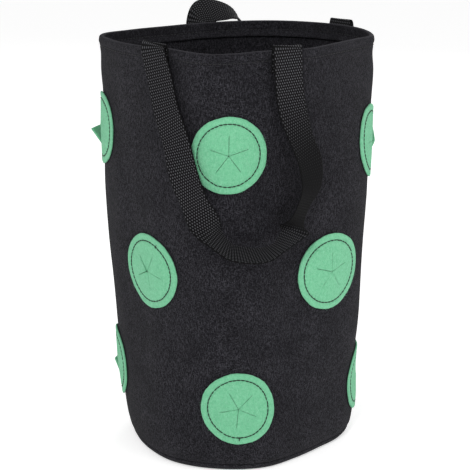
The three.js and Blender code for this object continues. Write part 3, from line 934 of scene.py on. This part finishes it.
    def make(self):
        disc = self.disc()
        seam, fuzz = self.seam(), self.fuzz()
        thread = seam.build("stitches_" + self.name, green_thread_with_painted_shade, "green_felt")
        fibres = fuzz.build("fibres_" + self.name, green_felt, "green_felt")


for patch in PATCHES:
    Patch(*patch).make()


# The handles

YARNS = 12  # across the strap
PICK = 2.2  # from one crossing yarn to the next, along the strap
FINE = 4  # the grid's steps in a yarn's width
WEAVE_SINK = 0.28  # the gaps between the yarns lie this far below the solid's face,
WEAVE_RISE = 0.42  # and the yarns rise this far out of them


def smooth_curve(rows, places):
    """The curve through the rows that the part's source sweeps along."""
    rows = np.asarray(rows, float)
    padded_rows = np.vstack([2 * rows[0] - rows[1], rows, 2 * rows[-1] - rows[-2]])
    scaled = np.asarray(places, float) * (len(rows) - 1)
    low = np.clip(np.floor(scaled).astype(int), 0, len(rows) - 2)
    t = (scaled - low)[:, None]
    p0, p1, p2, p3 = (padded_rows[low + k] for k in range(4))
    m0, m1 = 0.5 * (p2 - p0), 0.5 * (p3 - p1)
    return (
        (2 * p1 - 2 * p2 + m0 + m1) * t**3
        + (-3 * p1 + 3 * p2 - 2 * m0 - m1) * t**2
        + m0 * t
        + p1
    )


def turn_about(vector, axis, angle):
    return (
        vector * math.cos(angle)
        + np.cross(axis, vector) * math.sin(angle)
        + axis * np.dot(axis, vector) * (1 - math.cos(angle))
    )


def handle_rows(start, end, route):
    sewn = HANDLE_GAP + WEB_THICKNESS / 2

    def end_rows(azimuth, flops, sign):
        places = [
            (BAG_HEIGHT - HANDLE_TUCK, sewn),
            (BAG_HEIGHT - HANDLE_TUCK / 2, sewn),
            (BAG_HEIGHT - HANDLE_TURN_WIDTH / 2, sewn),
        ]
        if flops:
            places += [
                (BAG_HEIGHT + HANDLE_TURN_RISE, sewn + HANDLE_TURN_WIDTH / 2),
                (BAG_HEIGHT - HANDLE_TURN_WIDTH / 2, sewn + HANDLE_TURN_WIDTH),
            ]
        across = wall_sideways(azimuth, BAG_HEIGHT) * sign
        return [(wall_point(azimuth, h, -off), across) for h, off in places]

    free = [wall_point(az, h * BAG_HEIGHT, -off * WEB_WIDTH) for az, h, off, _ in route]
    middle = []
    for k, (az, h, off, roll) in enumerate(route):
        along = unit(free[min(k + 1, len(free) - 1)] - free[max(k - 1, 0)])
        across = unit(np.cross(along, wall_normal(az, h * BAG_HEIGHT)))
        middle.append((free[k], turn_about(across, along, math.radians(roll))))
    return end_rows(*start, -1) + middle + end_rows(*end, 1)[::-1]


def webbing(name, start, end, route):
    rows = handle_rows(start, end, route)
    centre_rows = np.array([row[0] for row in rows])
    across_rows = np.array([row[1] for row in rows])
    fine = np.linspace(0, 1, 4001)
    path = smooth_curve(centre_rows, fine)
    run = np.concatenate([[0], np.cumsum(np.linalg.norm(np.diff(path, axis=0), axis=1))])
    length = float(run[-1])
    steps = int(length / PICK * FINE)
    places = np.interp(np.linspace(0, length, steps + 1), run, fine)
    centre = smooth_curve(centre_rows, places)
    ahead, behind = (smooth_curve(centre_rows, places + shift) for shift in (1e-4, -1e-4))
    along = unit(ahead - behind)
    facing = unit(np.cross(smooth_curve(across_rows, places), along))
    across = np.cross(along, facing)
    v = np.linspace(0, length, steps + 1)
    u = np.linspace(-WEB_WIDTH / 2, WEB_WIDTH / 2, YARNS * FINE + 1)
    vv, uu = np.meshgrid(v, u, indexing="ij")
    in_pick = np.abs(np.sin(math.pi * vv / PICK)) ** 0.8
    stagger = 0.5 * np.mod(np.floor(vv / PICK), 2)

    def weave(shift):
        """A plain weave, from 0 to 1: each yarn end rises where its neighbour dips."""
        column = (uu + WEB_WIDTH / 2) / (WEB_WIDTH / YARNS) + (stagger + shift)
        return in_pick * (0.5 - 0.5 * np.cos(2 * math.pi * column)) ** 0.9

    edge = smoothstep(np.abs(uu), WEB_WIDTH / 2 - 0.7, WEB_WIDTH / 2)
    half = WEB_THICKNESS / 2 * (1 - 0.45 * edge)
    # Painted light along the strap: the painted glints are dimmed where a stretch turns from the
    # light and lifted where the bottom band faces down.
    painted_glint_share = (1 - edge) * read_table(STRAP_PAINTED_LIGHT[name], 1, vv / length)
    painted_light_lift = read_table(STRAP_PAINTED_LIGHT[name], 2, vv / length)
    points, weave_and_painted_glint = [], []
    for sign, raised in ((1, weave(0.0)), (-1, weave(0.5))):
        away = sign * (half - WEAVE_SINK + WEAVE_RISE * raised * (1 - edge))
        spot = centre[:, None] + across[:, None] * uu[..., None] + facing[:, None] * away[..., None]
        points.append(spot.reshape(-1, 3))
        weave_and_painted_glint.append(np.stack([uu, vv, raised * painted_glint_share + painted_light_lift], -1).reshape(-1, 3))
    count = len(points[0])
    faces = grid_faces(steps + 1, len(u), flip=True).tolist()
    faces += grid_faces(steps + 1, len(u), first=count).tolist()
    lines = np.arange(count).reshape(steps + 1, len(u))
    for rim, flip in ((lines[:, 0], 0), (lines[:, -1], 1), (lines[0], 1), (lines[-1], 0)):
        quad = np.stack([rim[:-1], rim[1:], rim[1:] + count, rim[:-1] + count], -1)
        faces += (quad[:, ::-1] if flip else quad).tolist()
    # The weave attribute holds the weave's place and, third, the painted glint and painted light
    # along the strap.
    attributes = {"weave": np.vstack(weave_and_painted_glint)}
    strap = new_mesh("webbing_" + name, np.vstack(points), faces, attributes=attributes)
    finish_piece(strap, black_webbing, "black_webbing", name)


for name, spec in HANDLES.items():
    webbing(name, **spec)


# The hem's seam and the wall's stray fibres

HEM_STITCH_PITCH = 3.8
STRAY_FIBRES = 420


def make_hem_seam():
    """The same seam twice: on the wall's outside and on the hem inside."""
    thread = Stitches()
    azimuths = np.linspace(0, 360, 2001)
    path = wall_point(azimuths, STITCH_HEIGHT)
    run = np.concatenate([[0], np.cumsum(np.linalg.norm(np.diff(path, axis=0), axis=1))])
    count = int(run[-1] / HEM_STITCH_PITCH)
    for k in range(count):
        ends = np.interp([(k + 0.12) / count, (k + 0.85) / count], run / run[-1], azimuths)
        height = STITCH_HEIGHT + 0.25 * math.sin(k / 9.0)
        out = wall_normal(ends[0], STITCH_HEIGHT)
        for inset, sign in ((0.5, 1), (HEM_THICKNESS - 0.45, -1)):
            a, b = (wall_point(e, height, inset + rumple(e, STITCH_HEIGHT)) for e in ends)
            thread.add(a, b, out * sign, 0.6, 0.28)
    return thread.build("hem_stitches", black_thread, "black_felt")


def make_stray_fibres():
    fuzz = Stitches(sides=3)
    for _ in range(STRAY_FIBRES):
        azimuth, height = random.uniform(0, 360), random.uniform(14, 346)
        root = wall_point(azimuth, height, float(rumple(azimuth, height)) + 0.1)
        sideways = wall_sideways(azimuth, height) * random.normal()
        lie = unit(sideways + np.array([0, 0, 1]) * random.normal())
        out = wall_normal(azimuth, height)
        fuzz.hair(root, lie, out, random.uniform(1.5, 3.5), 0.11)
    return fuzz.build("wall_fibres", black_felt, "black_felt")


hem_stitches = make_hem_seam()
wall_fibres = make_stray_fibres()


# Floor, light and camera: metres from here on

FLOOR_HALF = 8000  # the floor's points are in millimetres, as all meshes' are
FLOOR_DROP = 0.0002
TARGET = (0, 0, 0.18)  # what the lights point at

# name, place, side, watts
LIGHTS = [
    ("key", (-0.4, -1.75, 1.15), 0.35, 15),
    ("fill", (1.3, -1.3, 0.9), 0.9, 6),
    ("right_side", (1.7, 0.1, 0.5), 0.8, 6),
    ("back", (0.5, 1.8, 1.2), 0.8, 6),
    ("left_side", (-1.7, 0.1, 0.5), 0.8, 3),
]

CAMERA_PLACE = (-0.0044, -1.41195, 0.53018)
CAMERA_PITCH = 14.01  # degrees below the horizon
CAMERA_LENS = 129.34
CAMERA_SENSOR = 36

corners = [(x * FLOOR_HALF, y * FLOOR_HALF, 0) for x, y in ((-1, -1), (1, -1), (1, 1), (-1, 1))]
floor = new_mesh("floor", corners, [(0, 1, 2, 3)], smooth=False)
floor.location.z = -FLOOR_DROP
floor_shader = Shader(
    "pale_floor",
    (0.92, 0.92, 0.92),
    0.9,
    Specular_IOR_Level=0.1,
    Emission_Color=(1, 1, 1, 1),
    Emission_Strength=0.45,
)
floor.data.materials.append(floor_shader.material)
floor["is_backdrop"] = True

world = bpy.data.worlds.new("studio")
bpy.context.scene.world = world
world.use_nodes = True
world.node_tree.nodes["Background"].inputs["Color"].default_value = (1, 1, 1, 1)
world.node_tree.nodes["Background"].inputs["Strength"].default_value = 0.55

for name, place, side, watts in LIGHTS:
    data = bpy.data.lights.new(name, "AREA")
    data.shape = "RECTANGLE"
    data.size = data.size_y = side
    data.energy = watts
    light = bpy.data.objects.new(name, data)
    bpy.context.scene.collection.objects.link(light)
    light.location = place
    light.rotation_euler = (Vector(TARGET) - Vector(place)).to_track_quat("-Z", "Y").to_euler()

camera_data = bpy.data.cameras.new("camera")
camera_data.sensor_width = CAMERA_SENSOR
camera_data.lens = CAMERA_LENS
camera_data.clip_start = 0.05
camera = bpy.data.objects.new("camera", camera_data)
bpy.context.scene.collection.objects.link(camera)
camera.location = CAMERA_PLACE
camera.rotation_euler = (math.radians(90 - CAMERA_PITCH), 0, 0)
bpy.context.scene.camera = camera
bpy.context.scene.view_settings.view_transform = "Standard"

boxes = {"cad": cad_box, "visual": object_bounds()}
{key: [list(map(float, c)) for c in box] for key, box in boxes.items()}
